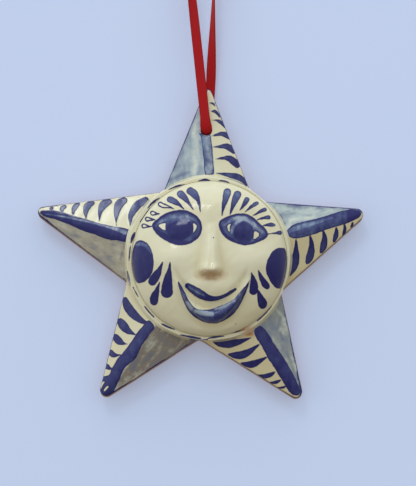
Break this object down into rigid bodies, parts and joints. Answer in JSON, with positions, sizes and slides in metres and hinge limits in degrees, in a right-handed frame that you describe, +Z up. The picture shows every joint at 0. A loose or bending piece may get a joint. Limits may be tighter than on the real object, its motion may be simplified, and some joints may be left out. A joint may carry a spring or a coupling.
{
  "type": "hanging star ornament",
  "caption": "Hollow glazed clay star with ridged rays and a domed smiling face, hung on a loop of narrow satin ribbon through a hole in its top ray.",
  "frame": {"origin": "hang point: underside of the ribbon's crown, where it lies over a peg", "axes": "+Z up, face towards -Y, +X to the viewer's right; the peg lies along Y"},
  "size_m": [0.1101, 0.0242, 0.1633],
  "materials": {
    "glazed_clay": "glossy cream tin glaze with hand-painted cobalt strokes and grey-blue washes",
    "bare_clay": "unglazed red-brown earthenware, matt",
    "satin_ribbon": "red satin weave, soft sheen"
  },
  "bodies": {
    "ribbon": {"hanging_ribbon": "satin_ribbon", "ribbon_knot": "satin_ribbon"},
    "star": {"star_shell": "glazed_clay", "back_slab": "bare_clay", "face_dome": "glazed_clay", "seam_coil": "glazed_clay"}
  },
  "joints": [
    {"name": "star_swing", "type": "hinge", "parent": "ribbon", "child": "star", "pos_m": [0.0018, 0, -0.072], "axis": [0, 1, 0], "range_deg": [-25, 25]}
  ]
}
